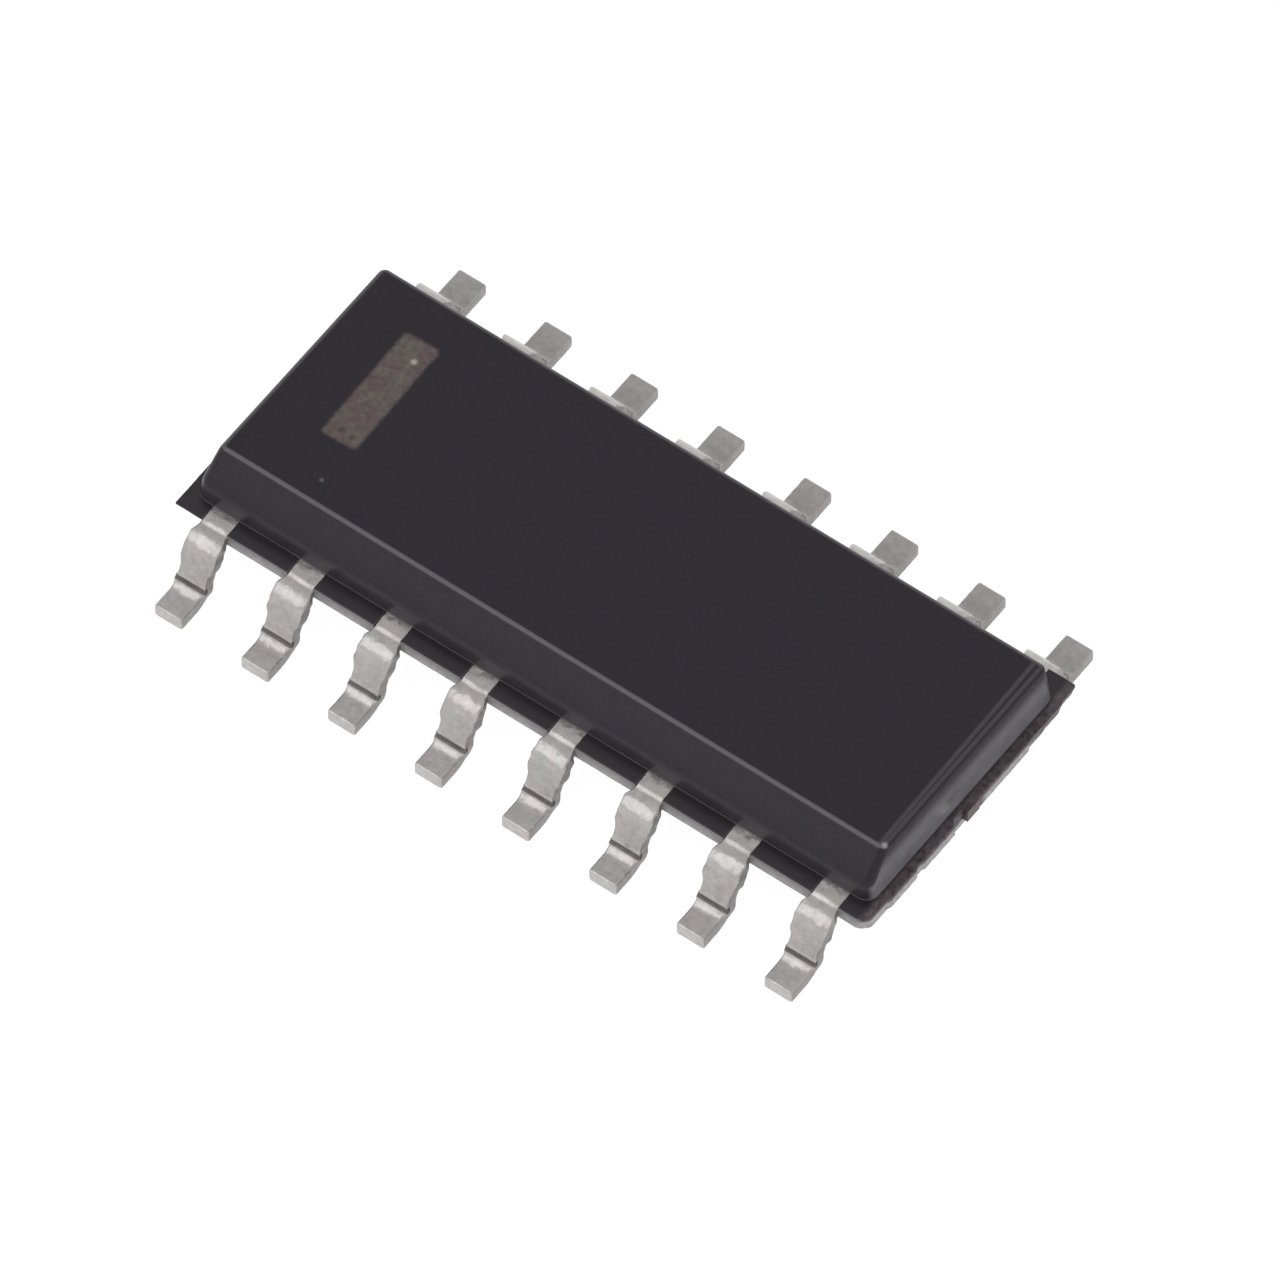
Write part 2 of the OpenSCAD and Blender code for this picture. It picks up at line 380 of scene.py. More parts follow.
# The groove across the heel, measured along the middle of the sheet
HEEL_MID_R = HEEL_R + HALF_T
GROOVE_RUN = (SHOULDER_R + HALF_T) * LEG_ANGLE + LEG_L + HEEL_MID_R * (LEG_ANGLE - GROOVE_ANGLE)
GROOVE_HALF = GROOVE_R * HEEL_MID_R / HEEL_R
# Pressing the groove has spread the lead, as a share of the stub
GROOVE_SPREAD = 0.65
GROOVE_SPREAD_RUN = 0.13

Place = namedtuple("Place", "point across up width stub dent")


def midline(bend_y):
    """The lead's middle from the moulding to the toe: reach, height, slope, run from the shoulder bend."""
    level = LEAD_TOP - HALF_T
    points = [(out, level, 0, out - bend_y) for out in spread(HALF_W - LEAD_SUNK, bend_y, LEAD_STEP)]

    def straight(length):
        out, z, slope, run = points[-1]
        for s in spread(0, length, LEAD_STEP)[1:]:
            points.append((out + s * math.cos(slope), z - s * math.sin(slope), slope, run + s))

    def bend(radius, end):
        out, z, slope, run = points[-1]
        turn = math.copysign(radius, end - slope)
        for a in spread(slope, end, LEAD_STEP / radius)[1:]:
            further = out + turn * (math.sin(a) - math.sin(slope))
            lower = z - turn * (math.cos(slope) - math.cos(a))
            points.append((further, lower, a, run + radius * abs(a - slope)))

    bend(SHOULDER_R + HALF_T, LEG_ANGLE)
    straight(LEG_L)
    bend(HEEL_MID_R, 0)
    straight(TOE_Y - TOE_R - points[-1][0])
    return points


def stub_share(run, tuck):
    """How far the lead is widened outside the flash, with the dam bar stub at its fullest as 1."""
    rise = ease((run - tuck - STUB_RISE[0]) / (STUB_RISE[1] - STUB_RISE[0]))
    fall = ease((run - STUB_FALL[0]) / (STUB_FALL[1] - STUB_FALL[0]))
    pressed = 1 - ease(abs(run - GROOVE_RUN) / GROOVE_SPREAD_RUN)
    return rise * (1 - fall) + GROOVE_SPREAD * pressed


def dent(run):
    """How far the forming tool pressed the top face in."""
    fall = min(max((run - STEP_START) / FALL_RUN + 1, 0), 1)
    step = min(max((run - STEP_START) / STEP_RUN, 0), 1)
    left = 1 - ease((run - STEP_START - STEP_RUN) / STEP_FADE)
    across = min(abs(run - GROOVE_RUN) / GROOVE_HALF, 1)
    groove = (1 + math.cos(math.pi * across)) / 2
    return (FALL_DEPTH * fall + STEP_DEPTH * step) * left + GROOVE_R * groove


def lead_places(x, side, tip):
    """Places along a lead from the inside out, starting at the tip of its finger."""
    elbow = Vector((x, side * ELBOW_Y, LEAD_TOP - HALF_T))
    along = (elbow - tip).normalized()
    across = Vector((-along.y, along.x, 0)) * -side
    places = [Place(tip, across, Vector((0, 0, 1)), FINGER_W / LEAD_W, 0, 0)]
    tuck = FAR_TUCK if side > 0 else 0
    for out, z, slope, run in midline(BEND_Y - tuck):
        point = Vector((x, side * out, z))
        up = Vector((0, side * math.sin(slope), math.cos(slope)))
        places.append(Place(point, Vector((1, 0, 0)), up, 1, stub_share(run, tuck), dent(run)))
    return places


def lead_section(half_w, half_t, edge):
    """A rectangle with round corners, as across and up."""
    points = []
    for sx, sz, start in ((1, -1, -90), (1, 1, 0), (-1, 1, 90), (-1, -1, 180)):
        for i in range(LEAD_EDGE_STEPS + 1):
            a = math.radians(start + 90 * i / LEAD_EDGE_STEPS)
            across = sx * (half_w - edge) + edge * math.cos(a)
            up = sz * (half_t - edge) + edge * math.sin(a)
            points.append((across, up))
    return points


def lead_ring(place, seed, shrink=0):
    """The section of a lead at a place, with its sides a little rough."""
    ring = []
    for u, v in lead_section(LEAD_W * place.width / 2 - shrink, HALF_T - shrink, LEAD_EDGE_R):
        at = place.point + place.across * u + place.up * (v - place.dent if v > 0 else v)
        rough = (SIDE_ROUGH + STUB_ROUGH * place.stub) * noise.noise(at * SIDE_WAVES + Vector((seed, 0, 0)))
        reach = math.copysign(STUB * place.stub + rough, u)
        ring.append(at + place.across * reach)
    return ring


def finger_tip(name, x, side):
    """The middle of the inner end of a lead, read from its solid."""
    low, high = (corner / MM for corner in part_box(name))
    tip_x = x
    tip_y = high.y if side < 0 else low.y
    if high.x - low.x > SLANT_W:
        tip_x = (low.x if x > 0 else high.x) + math.copysign(TIP_IN, x)
        tip_y += side * TIP_IN
    return Vector((tip_x, tip_y, LEAD_TOP - HALF_T))


def formed_lead(foot, material):
    number = foot["name"][-2:]
    name = "lead_" + number
    x, y = foot["pos_m"][0] / MM, foot["pos_m"][1] / MM
    side = math.copysign(1, y)
    places = lead_places(x, side, finger_tip(name, x, side))
    seed = int(number)
    rings = [lead_ring(place, seed) for place in places]
    toe = places[-1]
    for a in spread(0, math.pi / 2, math.pi / 2 / TOE_STEPS)[1:]:
        moved = toe._replace(point=toe.point + Vector((0, side * TOE_R * math.sin(a), 0)))
        rings.append(lead_ring(moved, seed, TOE_R * (1 - math.cos(a)) * TOE_NARROWING))
    bm = bmesh.new()
    loops = skin_rings(bm, rings)
    bm.faces.new(loops[0])
    bm.faces.new(loops[-1])
    new_piece("formed_" + name, bm, material, name)


# Finishes

# Most of what a noise gives lies between these two
NOISE_SPAN = (0.3, 0.7)


def add(tree, kind, sockets=None, **settings):
    """A shader node with its settings, and its sockets set or linked."""
    made = tree.nodes.new("ShaderNode" + kind)
    for key, value in settings.items():
        setattr(made, key, value)
    for key, value in (sockets or {}).items():
        if isinstance(value, bpy.types.NodeSocket):
            tree.links.new(value, made.inputs[key])
        else:
            made.inputs[key].default_value = value
    return made


def parts_of(tree, vector):
    """The x, y and z of a vector."""
    return add(tree, "SeparateXYZ", {0: vector}).outputs


def math_node(tree, operation, a, b=0.0, c=0.0):
    return add(tree, "Math", {0: a, 1: b, 2: c}, operation=operation).outputs[0]


def times(tree, *values):
    result = values[0]
    for value in values[1:]:
        result = math_node(tree, "MULTIPLY", result, value)
    return result


def mix_color(tree, factor, a, b, blend="MIX"):
    return add(tree, "Mix", {0: factor, 6: a, 7: b}, data_type="RGBA", blend_type=blend).outputs[2]


def shaded(tree, color, shade):
    """A colour made lighter or darker by a value."""
    gray = add(tree, "CombineColor", {0: shade, 1: shade, 2: shade}).outputs[0]
    return mix_color(tree, 1.0, color, gray, "MULTIPLY")


def map_range(tree, value, low, high, to_low, to_high, steps="LINEAR"):
    sockets = {"Value": value, "From Min": low, "From Max": high, "To Min": to_low, "To Max": to_high}
    return add(tree, "MapRange", sockets, interpolation_type=steps).outputs[0]


def fade(tree, value, start, end):
    """Goes from 0 to 1 as a value goes from start to end."""
    return map_range(tree, value, start, end, 0.0, 1.0)


def soft_fade(tree, value, start, end):
    """The same, easing in and out."""
    return map_range(tree, value, start, end, 0.0, 1.0, "SMOOTHSTEP")


def speckle(tree, coords, scale, detail, rough):
    """Noise with so many features to the millimetre."""
    sockets = {"Vector": coords, "Scale": scale, "Detail": detail, "Roughness": rough}
    return add(tree, "TexNoise", sockets).outputs["Fac"]


def varied(tree, speck, low, high):
    """Goes from low to high with a noise."""
    return map_range(tree, speck, *NOISE_SPAN, low, high)


def new_material(name):
    """A material, its tree, its shader, and the object's own coordinates in millimetres."""
    material = bpy.data.materials.new(name)
    material.use_nodes = True
    tree = material.node_tree
    shader = tree.nodes["Principled BSDF"]
    coords = add(tree, "TexCoord").outputs["Object"]
    in_mm = add(tree, "VectorMath", {0: coords, "Scale": 1 / MM}, operation="SCALE").outputs[0]
    return material, tree, shader, in_mm


def set_roughness(tree, shader, rough, duller=()):
    """Links a roughness, raised where a mask says so."""
    for mask, more in duller:
        rough = math_node(tree, "MULTIPLY_ADD", mask, more, rough)
    tree.links.new(rough, shader.inputs["Roughness"])


def set_bump(tree, shader, height, distance, strength=1.0):
    bump = add(tree, "Bump", {"Height": height, "Distance": distance * MM, "Strength": strength})
    tree.links.new(bump.outputs[0], shader.inputs["Normal"])


# The epoxy
# A noise is given as its features to the millimetre, its detail and its roughness
GRAIN = (22, 3.0, 0.6)
BLOTCH = (3.2, 2.0, 0.5)
MOTTLE = (14, 4.0, 0.65)
# Colours in twos are mixed by a noise, or from one place to another
TOP_COLORS = (0.0048, 0.0028, 0.0088, 1), (0.0066, 0.0028, 0.0074, 1)
TOP_BLOTCH_SPAN = (0.35, 0.65)
TOP_SHADES = (0.7, 1.3)
WALL_COLOR = (0.03, 0.028, 0.034, 1)
WALL_SHADES = (0.85, 1.15)
# A facing is one part of the surface's normal, first where a mask is 0 and then where it is 1
UPRIGHT_FACING = (0.32, 0.16)
EPOXY_ROUGH = (0.26, 0.34)
EPOXY_IOR = 1.45
EPOXY_SPECULAR = (1.0, 0.95, 1.03, 1)
EPOXY_BUMP = 0.003
EPOXY_BUMP_SHARE = 0.5
# The +X end wall has painted light, paler towards its foot, and painted shade and more roughness between these
# heights
UNDER_RIM = (LEAD_TOP + 0.3, LEAD_TOP + 0.53)
END_WALL_FACING = (0.6, 0.95)
END_WALL_LIGHT_COLORS = (0.078, 0.075, 0.084, 1), (0.2, 0.192, 0.212, 1)
UNDER_RIM_SHADE_COLOR = (0.004, 0.0032, 0.0048, 1)
DULL_RIM_FACING = (0.3, 0.6)
DULL_RIM = 0.28
# The rounded edges of the top carry a painted highlight, most of all above the bevel
EDGE_HIGHLIGHT_COLORS = (0.043, 0.04, 0.045, 1), (0.088, 0.083, 0.092, 1)
BEVEL_FACING = (-0.05, -0.2)
EDGE_START_FACING = (0.999, 0.98)
EDGE_END_FACING = (0.72, 0.82)
# So does a line along the +X end of the flat top: its x at its -Y end and its +Y end, and its reach
TOP_END = HALF_L - drafted_inset(BODY_HIGH.z - LEAD_TOP, BODY_HIGH.z - LEAD_TOP)
HIGHLIGHT_LINE_X = (TOP_END - 0.01, TOP_END - 0.06)
HIGHLIGHT_LINE_REACH = 0.04
# What lies less than this below the highest point counts as the flat top
TOP_SLACK = 0.003
# The flash has painted shade on its faces; where it is broken it is pale, as broken epoxy is, with painted
# light, more so lower down
PARTING_SLACK = 0.01
FLASH_SHADE_COLOR = (0.016, 0.0132, 0.0172, 1)
FLASH_END = (HALF_L - 0.02, HALF_L + 0.05)
BREAK_DEPTHS = (LEAD_TOP, LEAD_LOW + 0.06)
BREAK_TOP_COLOR = (0.16, 0.153, 0.162, 1)
SIDE_BREAK_COLORS = (0.275, 0.264, 0.264, 1), (0.4, 0.388, 0.384, 1)
END_BREAK_COLORS = (0.27, 0.257, 0.256, 1), (0.49, 0.468, 0.466, 1)
BREAK_DULL = 0.25
# Its +X end is stained, raggedly along the top of the break and all the way down from y to y
STAIN_COLORS = (0.027, 0.02, 0.024, 1), (0.13, 0.102, 0.11, 1)
STAIN_DEPTHS = (0.35, 0.15)
STAIN_RAGGED = 0.3
STAINS = ((-0.36, 0.2), (1.15, 2.3))
STAIN_SOFT = 0.05
# The index bar on the top
BAR_CENTRE = (-3.775, 0.29)
BAR_SIZE = (0.49, 1.74)
BAR_TURN = math.radians(1.3)
BAR_CORNER = 0.06
BAR_SOFT = 0.035
BAR_RAGGED = 0.012
BAR_PATCHES = (5, 3.0, 0.6)
BAR_PATCH_SPAN = (0.38, 0.62)
BAR_COLORS = (0.092, 0.062, 0.06, 1), (0.1, 0.088, 0.076, 1)
BAR_SHADES = (0.72, 1.28)
BAR_DULL = 0.25
# Small marks on the top, and a painted glint on its edge: place, radius and colour
DARK_SPOT = (0.035, 0.032, 0.028, 1)
SPOTS = (
    ((-3.709, 0.861, BODY_HIGH.z), 0.065, (0.4, 0.35, 0.32, 1)),
    ((-3.816, -0.425, BODY_HIGH.z), 0.07, DARK_SPOT),
    ((-3.652, -0.451, BODY_HIGH.z), 0.06, DARK_SPOT),
    ((-3.57, -1.147, BODY_HIGH.z), 0.045, (0.1, 0.097, 0.105, 1)),
    # A painted glint on the corner of the +X end of the top, on its -Y side
    ((4.795, -1.407, BODY_HIGH.z - 0.02), 0.06, (0.34, 0.33, 0.34, 1)),
)

Skin = namedtuple("Skin", "tree coords x y z normal_x normal_y normal_z grain blotch mottle")


def molding_skin(tree, coords):
    """What the colours of the moulding go by: place, normal and three noises."""
    normal = add(tree, "NewGeometry").outputs["Normal"]
    grain = speckle(tree, coords, *GRAIN)
    blotch = speckle(tree, coords, *BLOTCH)
    mottle = fade(tree, speckle(tree, coords, *MOTTLE), *NOISE_SPAN)
    return Skin(tree, coords, *parts_of(tree, coords), *parts_of(tree, normal), grain, blotch, mottle)


def top_color(skin):
    tree = skin.tree
    color = mix_color(tree, fade(tree, skin.blotch, *TOP_BLOTCH_SPAN), *TOP_COLORS)
    return shaded(tree, color, varied(tree, skin.grain, *TOP_SHADES))


def wall_color(skin, under_rim):
    tree = skin.tree
    # Painted light on the +X end wall, paler towards its foot, and painted shade under its rim
    end_wall_light = mix_color(tree, fade(tree, skin.z, UNDER_RIM[0], LEAD_TOP), *END_WALL_LIGHT_COLORS)
    end_color = mix_color(tree, under_rim, end_wall_light, UNDER_RIM_SHADE_COLOR)
    end_wall = soft_fade(tree, skin.normal_x, *END_WALL_FACING)
    color = mix_color(tree, end_wall, WALL_COLOR, end_color)
    return shaded(tree, color, varied(tree, skin.blotch, *WALL_SHADES))


def edge_highlight_mask(skin):
    """1 where a highlight is painted: along the rounded edges of the top and in the line at its +X end, which
    runs a little askew.
    """
    tree = skin.tree
    start = soft_fade(tree, skin.normal_z, *EDGE_START_FACING)
    end = soft_fade(tree, skin.normal_z, *EDGE_END_FACING)
    edge = times(tree, start, end, math_node(tree, "GREATER_THAN", skin.z, BODY_HIGH.z - EDGE_R))
    middle = map_range(tree, skin.y, -END_END, END_END, *HIGHLIGHT_LINE_X)
    away = math_node(tree, "ABSOLUTE", math_node(tree, "SUBTRACT", skin.x, middle))
    line = times(tree, fade(tree, away, HIGHLIGHT_LINE_REACH, HIGHLIGHT_LINE_REACH / 3), top_mask(skin))
    return math_node(tree, "MAXIMUM", edge, line)


def edge_highlight_color(skin):
    # A painted highlight, lightest on the bevel
    return mix_color(skin.tree, fade(skin.tree, skin.normal_y, *BEVEL_FACING), *EDGE_HIGHLIGHT_COLORS)


def top_mask(skin):
    """1 on the flat top."""
    return math_node(skin.tree, "GREATER_THAN", skin.z, BODY_HIGH.z - TOP_SLACK)


def parting_mask(skin):
    """1 on the flash, between the two halves of the moulding."""
    under_top = math_node(skin.tree, "LESS_THAN", skin.z, LEAD_TOP + PARTING_SLACK)
    over_low = math_node(skin.tree, "GREATER_THAN", skin.z, LEAD_LOW - PARTING_SLACK)
    return times(skin.tree, under_top, over_low)


def break_color(skin, at_end, stained):
    """The broken edge of the flash."""
    tree = skin.tree
    # Pale as broken epoxy is, with painted light, and painted shade towards its top
    depth = fade(tree, skin.z, *BREAK_DEPTHS)
    side_color = mix_color(tree, depth, BREAK_TOP_COLOR, mix_color(tree, skin.mottle, *SIDE_BREAK_COLORS))
    stain = fade(tree, math_node(tree, "MULTIPLY_ADD", skin.mottle, -STAIN_RAGGED, depth), *STAIN_DEPTHS)
    for low, high in STAINS:
        from_low = fade(tree, skin.y, low - STAIN_SOFT, low + STAIN_SOFT)
        to_high = fade(tree, skin.y, high + STAIN_SOFT, high - STAIN_SOFT)
        stain = math_node(tree, "MAXIMUM", stain, times(tree, from_low, to_high))
    end_color = mix_color(tree, stain, mix_color(tree, skin.mottle, *END_BREAK_COLORS), stained)
    return mix_color(tree, at_end, side_color, end_color)


def bar_mask(skin):
    """1 inside the index bar on the top face, 0 outside it."""
    tree = skin.tree
    sockets = {"Vector": skin.coords, "Location": (*BAR_CENTRE, 0), "Rotation": (0, 0, BAR_TURN)}
    local = parts_of(tree, add(tree, "Mapping", sockets, vector_type="TEXTURE").outputs[0])
    squares = []
    for axis, size in enumerate(BAR_SIZE):
        reach = math_node(tree, "ABSOLUTE", local[axis])
        beyond = math_node(tree, "MAXIMUM", math_node(tree, "SUBTRACT", reach, size / 2 - BAR_CORNER))
        squares.append(times(tree, beyond, beyond))
    distance = math_node(tree, "SQRT", math_node(tree, "ADD", *squares))
    edge = math_node(tree, "ADD", distance, varied(tree, skin.grain, -BAR_RAGGED, BAR_RAGGED))
    inside = soft_fade(tree, edge, BAR_CORNER + BAR_SOFT, BAR_CORNER - BAR_SOFT)
    return times(tree, inside, top_mask(skin))


def bar_color(skin):
    tree = skin.tree
    patch = fade(tree, speckle(tree, skin.coords, *BAR_PATCHES), *BAR_PATCH_SPAN)
    color = mix_color(tree, patch, *BAR_COLORS)
    return shaded(tree, color, map_range(tree, skin.mottle, 0.0, 1.0, *BAR_SHADES))


def spot_mask(skin, place, radius):
    """1 in the middle of a small round spot."""
    distance = add(skin.tree, "VectorMath", {0: skin.coords, 1: place}, operation="DISTANCE")
    return soft_fade(skin.tree, distance.outputs["Value"], radius, 0.0)


def epoxy():
    material, tree, shader, coords = new_material("epoxy_molding")
    skin = molding_skin(tree, coords)
    upright = soft_fade(tree, math_node(tree, "ABSOLUTE", skin.normal_z), *UPRIGHT_FACING)
    under_rim = soft_fade(tree, skin.z, *UNDER_RIM)
    parting = parting_mask(skin)
    broken = times(tree, parting, upright)
    at_end = fade(tree, skin.x, *FLASH_END)
    stained = mix_color(tree, skin.mottle, *STAIN_COLORS)
    bar = bar_mask(skin)
    layers = [
        (upright, wall_color(skin, under_rim)),
        (edge_highlight_mask(skin), edge_highlight_color(skin)),
        # Painted shade on the faces of the flash, stained at its +X end
        (parting, mix_color(tree, at_end, FLASH_SHADE_COLOR, stained)),
        (broken, break_color(skin, at_end, stained)),
        (bar, bar_color(skin)),
    ]
    layers += [(spot_mask(skin, place, radius), color) for place, radius, color in SPOTS]
    base = top_color(skin)
    for mask, color in layers:
        base = mix_color(tree, mask, base, color)
    tree.links.new(base, shader.inputs["Base Color"])
    rim = times(tree, under_rim, fade(tree, skin.normal_x, *DULL_RIM_FACING))
    duller = ((bar, BAR_DULL), (broken, BREAK_DULL), (rim, DULL_RIM))
    set_roughness(tree, shader, varied(tree, skin.grain, *EPOXY_ROUGH), duller)
    shader.inputs["IOR"].default_value = EPOXY_IOR
    shader.inputs["Specular Tint"].default_value = EPOXY_SPECULAR
    set_bump(tree, shader, skin.grain, EPOXY_BUMP, EPOXY_BUMP_SHARE)
    return material


# The tin plate, with its noises
TIN_HUE = (4, 2.0, 0.5)
TIN_CLOUD = (11, 3.0, 0.6)
TIN_WAVES = (7, 1.5, 0.5)
TIN_FINE = (34, 2.0, 0.6)
TIN_COLORS = (0.475, 0.445, 0.437, 1), (0.46, 0.45, 0.432, 1)
TIN_HUE_SPAN = (0.4, 0.6)
TIN_SHADES = (0.88, 1.1)
TIN_ROUGH = (0.23, 0.33)
TIN_BUMP = 0.014
TIN_FINE_SHARE = 0.08
# It is darker on the legs, which fades out between two heights at the heel and two at the shoulder
LEG_SHADE = 0.82
LEG_FOOT = (0.31, 0.37)
LEG_HEAD = (0.76, 0.66)
# The groove of the heel has painted shade and is duller; the sheared sides are darker and duller as cut copper
# is, with painted shade as well
SHEAR_SHADE = 0.75
SHEAR_DULL = 0.3
SHEAR_FACING = (0.7, 0.95)
GROOVE_SHADE = 0.5
GROOVE_DULL = 0.35
GROOVE_FROM, GROOVE_TO = math.radians(48), math.radians(67)
GROOVE_FADE = math.radians(3)
HEEL_Y = BEND_Y + BENDS_R * math.sin(LEG_ANGLE) + LEG_L * math.cos(LEG_ANGLE)
# How much of those two shades the +Y row has
FAR_SHARE = 0.15
# The feet of the +Y row have painted shade, less from the heel to the toe
FAR_FOOT_SHADE = 0.76
FAR_FOOT_START = (2.3, 2.45)
FAR_HEEL_TO_TOE = (2.68, 2.95)
FAR_TOE_SHARE = 0.55


def groove_mask(tree, y, z):
    """1 in the groove of the heel, found by its angle about the middle of the bend."""
    tuck = times(tree, math_node(tree, "GREATER_THAN", y, 0.0), FAR_TUCK)
    outwards = math_node(tree, "ADD", math_node(tree, "ABSOLUTE", y), tuck)
    inwards = math_node(tree, "SUBTRACT", HEEL_Y, outwards)
    below = math_node(tree, "SUBTRACT", LEAD_T + HEEL_R, z)
    angle = math_node(tree, "ARCTAN2", inwards, below)
    square = math_node(tree, "MULTIPLY_ADD", inwards, inwards, times(tree, below, below))
    near = math_node(tree, "LESS_THAN", math_node(tree, "SQRT", square), HEEL_R + 2 * GROOVE_R)
    rise = fade(tree, angle, GROOVE_FROM - GROOVE_FADE, GROOVE_FROM + GROOVE_FADE)
    fall = fade(tree, angle, GROOVE_TO + GROOVE_FADE, GROOVE_TO - GROOVE_FADE)
    return times(tree, rise, fall, near)


def tin():
    material, tree, shader, coords = new_material("dull_tin")
    y, z = parts_of(tree, coords)[1:]
    normal = add(tree, "NewGeometry").outputs["Normal"]
    sideways = math_node(tree, "ABSOLUTE", parts_of(tree, normal)[0])
    leg = times(tree, fade(tree, z, *LEG_FOOT), fade(tree, z, *LEG_HEAD))
    groove = groove_mask(tree, y, z)
    sheared = fade(tree, sideways, *SHEAR_FACING)
    far_toe = map_range(tree, y, *FAR_HEEL_TO_TOE, 1.0, FAR_TOE_SHARE)
    row_share = map_range(tree, y, -HALF_W, HALF_W, 1.0, FAR_SHARE)
    shades = (
        (leg, LEG_SHADE),
        # Painted shade in the heel's groove
        (times(tree, groove, row_share), GROOVE_SHADE),
        # Painted shade on the sheared sides, which are also darker as cut copper is
        (times(tree, sheared, row_share), SHEAR_SHADE),
        # Painted shade on the feet of the +Y row, behind the moulding
        (times(tree, fade(tree, y, *FAR_FOOT_START), far_toe), FAR_FOOT_SHADE),
    )
    base = mix_color(tree, fade(tree, speckle(tree, coords, *TIN_HUE), *TIN_HUE_SPAN), *TIN_COLORS)
    base = shaded(tree, base, varied(tree, speckle(tree, coords, *TIN_CLOUD), *TIN_SHADES))
    for mask, shade in shades:
        base = shaded(tree, base, math_node(tree, "MULTIPLY_ADD", mask, shade - 1, 1.0))
    tree.links.new(base, shader.inputs["Base Color"])
    shader.inputs["Metallic"].default_value = 1.0
    fine = speckle(tree, coords, *TIN_FINE)
    duller = ((groove, GROOVE_DULL), (sheared, SHEAR_DULL))
    set_roughness(tree, shader, varied(tree, fine, *TIN_ROUGH), duller)
    height = math_node(tree, "MULTIPLY_ADD", fine, TIN_FINE_SHARE, speckle(tree, coords, *TIN_WAVES))
    set_bump(tree, shader, height, TIN_BUMP)
    return material


# What is sealed inside
CUT_END = (0.12, 0.09, 0.088, 1)
TONE_DETAIL, TONE_ROUGH = 3.0, 0.5
PLAIN_ROUGH_SPREAD = 0.08
PLAIN_BUMP = 0.003
PLAIN_BUMP_SHARE = 0.4


def plain_finish(name, dark, light, scale, metallic, roughness):
    """Two tones of one colour, a fine grain, and dull ends where the tie bars are cut off."""
    material, tree, shader, coords = new_material(name)
    tone = speckle(tree, coords, scale, TONE_DETAIL, TONE_ROUGH)
    reach = math_node(tree, "ABSOLUTE", parts_of(tree, coords)[0])
    cut = math_node(tree, "GREATER_THAN", reach, HALF_L)
    base = mix_color(tree, cut, mix_color(tree, tone, (*dark, 1), (*light, 1)), CUT_END)
    tree.links.new(base, shader.inputs["Base Color"])
    shader.inputs["Metallic"].default_value = metallic
    rough = varied(tree, tone, roughness - PLAIN_ROUGH_SPREAD, roughness + PLAIN_ROUGH_SPREAD)
    set_roughness(tree, shader, rough)
    set_bump(tree, shader, tone, PLAIN_BUMP, PLAIN_BUMP_SHARE)
    return material


def dress_inside():
    """Finishes for the solids of the frame that stay as they are."""
    finishes = {
        "die_paddle": plain_finish("rolled_copper", (0.24, 0.17, 0.14), (0.38, 0.27, 0.22), 12, 1.0, 0.45),
        "die_attach": plain_finish("bond_layer", (0.38, 0.38, 0.36), (0.52, 0.52, 0.5), 20, 0.3, 0.6),
        "die": plain_finish("silicon", (0.16, 0.17, 0.2), (0.22, 0.23, 0.27), 8, 0.4, 0.25),
        "bond_wire": plain_finish("gold_wire", (0.78, 0.55, 0.18), (0.9, 0.68, 0.28), 30, 1.0, 0.25),
    }
    for name, solid in frame["nodes"].items():
        finish = finishes.get("bond_wire" if name.startswith("bond_wire") else name)
        if finish:
            for place in solid.material_slots:
                place.material = finish


# The studio

FLOOR_SIZE = 1200
FLOOR_DROP = 0.002
FLOOR_COLOR = (0.9, 0.9, 0.9, 1)
# The floor glows where a camera or a reflection sees it, so that it is white there
FLOOR_GLOW = 1.25
FLOOR_GLOW_SHARE = 0.75
SOFTBOX_SIZE = 170
SOFTBOX_PLACE = Vector((-67, -105, 156))
SOFTBOX_RADIANCE = 0.85
# The sky's light by the upward part of its direction
HORIZON_LEVEL = 1.08
SKY_LEVEL = 0.75
SKY_FROM = 0.65
WHITE = (1, 1, 1, 1)


def floor():
    mesh = bpy.data.meshes.new("floor")
    half = FLOOR_SIZE / 2 * MM
    quadrants = ((-1, -1), (1, -1), (1, 1), (-1, 1))
    corners = [(x * half, y * half, -FLOOR_DROP * MM) for x, y in quadrants]
    mesh.from_pydata(corners, [], [(0, 1, 2, 3)])
    material = bpy.data.materials.new("pale_floor")
    material.use_nodes = True
    tree = material.node_tree
    tree.nodes.clear()
    matt = add(tree, "BsdfDiffuse", {"Color": FLOOR_COLOR})
    glow = add(tree, "Emission", {"Color": WHITE, "Strength": FLOOR_GLOW})
    path = add(tree, "LightPath")
    seen = math_node(tree, "MAXIMUM", path.outputs["Is Camera Ray"], path.outputs["Is Glossy Ray"])
    seen = math_node(tree, "MAXIMUM", seen, path.outputs["Is Transmission Ray"])
    share = math_node(tree, "MULTIPLY", seen, FLOOR_GLOW_SHARE)
    mixed = add(tree, "MixShader", {0: share, 1: matt.outputs[0], 2: glow.outputs[0]})
    add(tree, "OutputMaterial", {"Surface": mixed.outputs[0]})
    mesh.materials.append(material)
    made = bpy.data.objects.new("floor", mesh)
    bpy.context.scene.collection.objects.link(made)


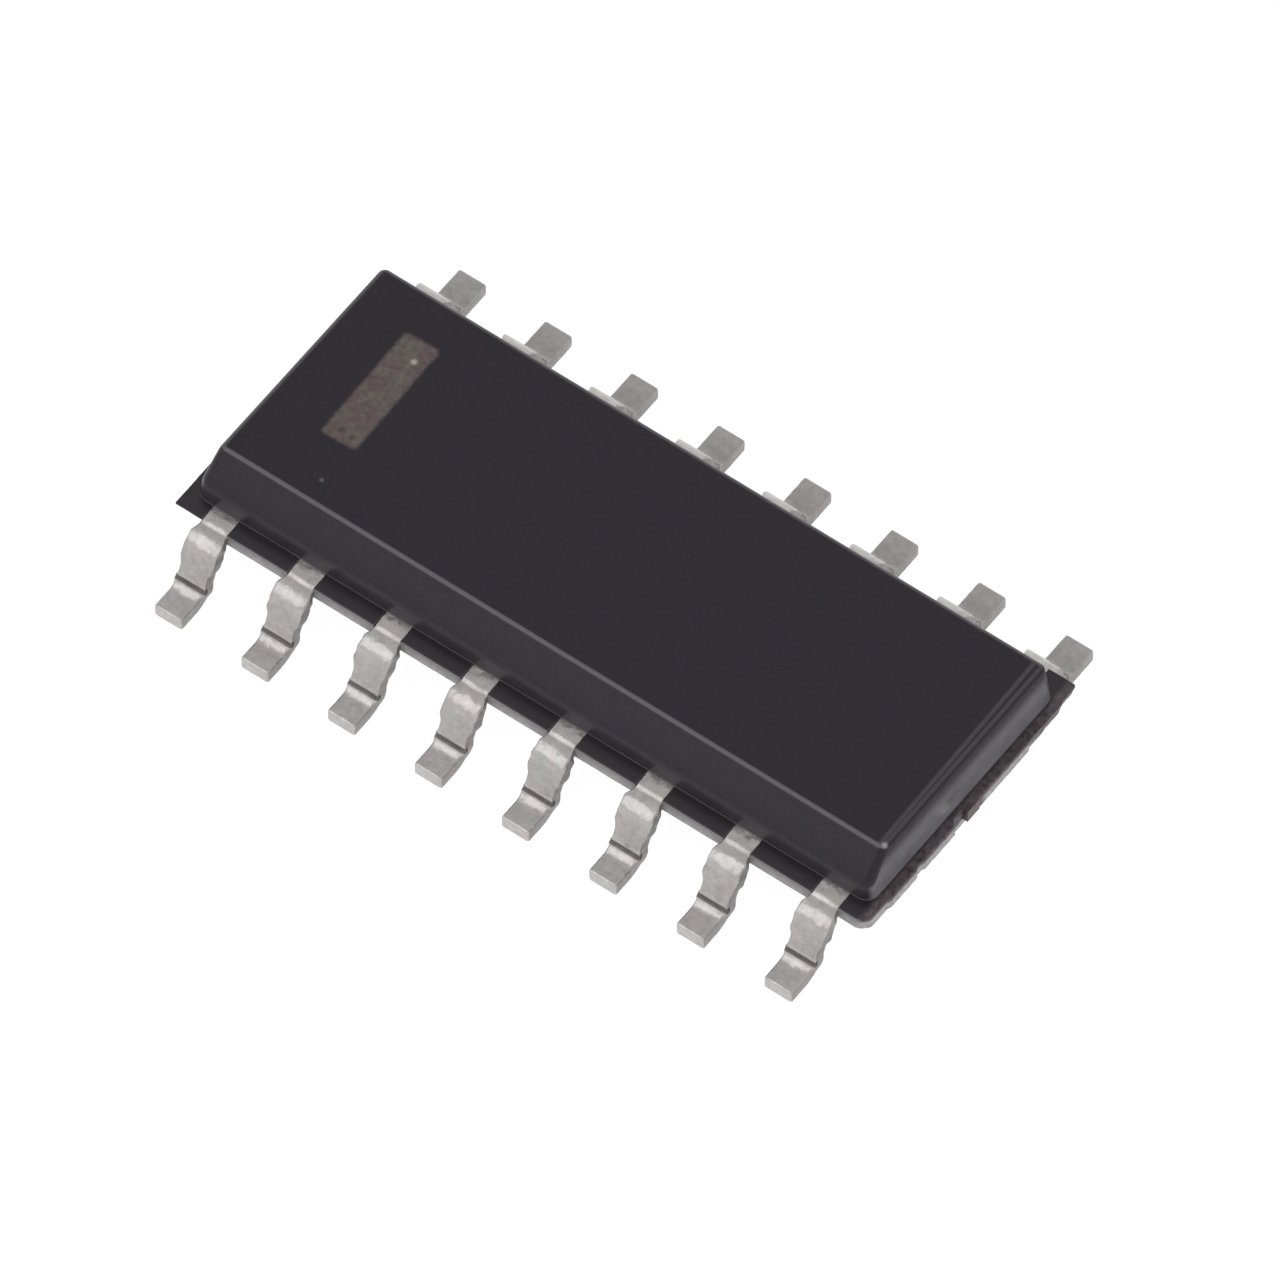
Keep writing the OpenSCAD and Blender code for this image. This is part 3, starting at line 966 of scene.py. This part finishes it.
def light():
    world = bpy.data.worlds.new("studio")
    bpy.context.scene.world = world
    world.use_nodes = True
    tree = world.node_tree
    way = add(tree, "TexCoord").outputs["Generated"]
    level = map_range(tree, parts_of(tree, way)[2], 0.0, SKY_FROM, HORIZON_LEVEL, SKY_LEVEL, "SMOOTHSTEP")
    tree.links.new(level, tree.nodes["Background"].inputs["Strength"])
    tree.nodes["Background"].inputs["Color"].default_value = WHITE
    lamp = bpy.data.lights.new("softbox", "AREA")
    lamp.shape = "SQUARE"
    lamp.size = SOFTBOX_SIZE * MM
    lamp.energy = SOFTBOX_RADIANCE * math.pi * lamp.size ** 2
    box = bpy.data.objects.new("softbox", lamp)
    box.location = SOFTBOX_PLACE * MM
    box.rotation_mode = "QUATERNION"
    box.rotation_quaternion = (-box.location).to_track_quat("-Z", "Y")
    bpy.context.scene.collection.objects.link(box)


# The camera, solved from the sixteen feet in the photograph
VIEW_AZIMUTH = math.radians(36.144)
VIEW_ELEVATION = math.radians(55.326)
VIEW_ROLL = math.radians(0.216)
VIEW_DISTANCE = 289.29
VIEW_CENTRE = Vector((0, 0, 0.8))
# The centre of the picture lies this far right of the part's centre, and this far below it
AIM_RIGHT = 0.188
AIM_DOWN = 0.470
PICTURE_W = 1280
PIXELS_PER_MM = 85.104
# What the camera shows lies between its distance divided and multiplied by this
CLIP_RATIO = 10


def camera():
    flat = math.cos(VIEW_ELEVATION)
    back = Vector((
        math.sin(VIEW_AZIMUTH) * flat,
        -math.cos(VIEW_AZIMUTH) * flat,
        math.sin(VIEW_ELEVATION),
    ))
    right = Vector((math.cos(VIEW_AZIMUTH), math.sin(VIEW_AZIMUTH), 0))
    up = back.cross(right)
    right, up = (
        right * math.cos(VIEW_ROLL) + up * math.sin(VIEW_ROLL),
        up * math.cos(VIEW_ROLL) - right * math.sin(VIEW_ROLL),
    )
    place = VIEW_CENTRE + back * VIEW_DISTANCE
    aim = VIEW_CENTRE + right * AIM_RIGHT - up * AIM_DOWN
    ahead = (aim - place).normalized()
    side = ahead.cross(up).normalized()
    lens = bpy.data.cameras.new("camera")
    lens.lens = lens.sensor_width * PIXELS_PER_MM * VIEW_DISTANCE / PICTURE_W
    lens.clip_start = VIEW_DISTANCE * MM / CLIP_RATIO
    lens.clip_end = VIEW_DISTANCE * MM * CLIP_RATIO
    made = bpy.data.objects.new("camera", lens)
    made.matrix_world = Matrix((
        (side.x, side.cross(ahead).x, -ahead.x, place.x * MM),
        (side.y, side.cross(ahead).y, -ahead.y, place.y * MM),
        (side.z, side.cross(ahead).z, -ahead.z, place.z * MM),
        (0, 0, 0, 1),
    ))
    bpy.context.scene.collection.objects.link(made)
    bpy.context.scene.camera = made


camera()
floor()
light()
molding(epoxy())
tin_finish = tin()
for foot_mount in FEET:
    formed_lead(foot_mount, tin_finish)
dress_inside()
bpy.context.scene.view_settings.view_transform = "Standard"
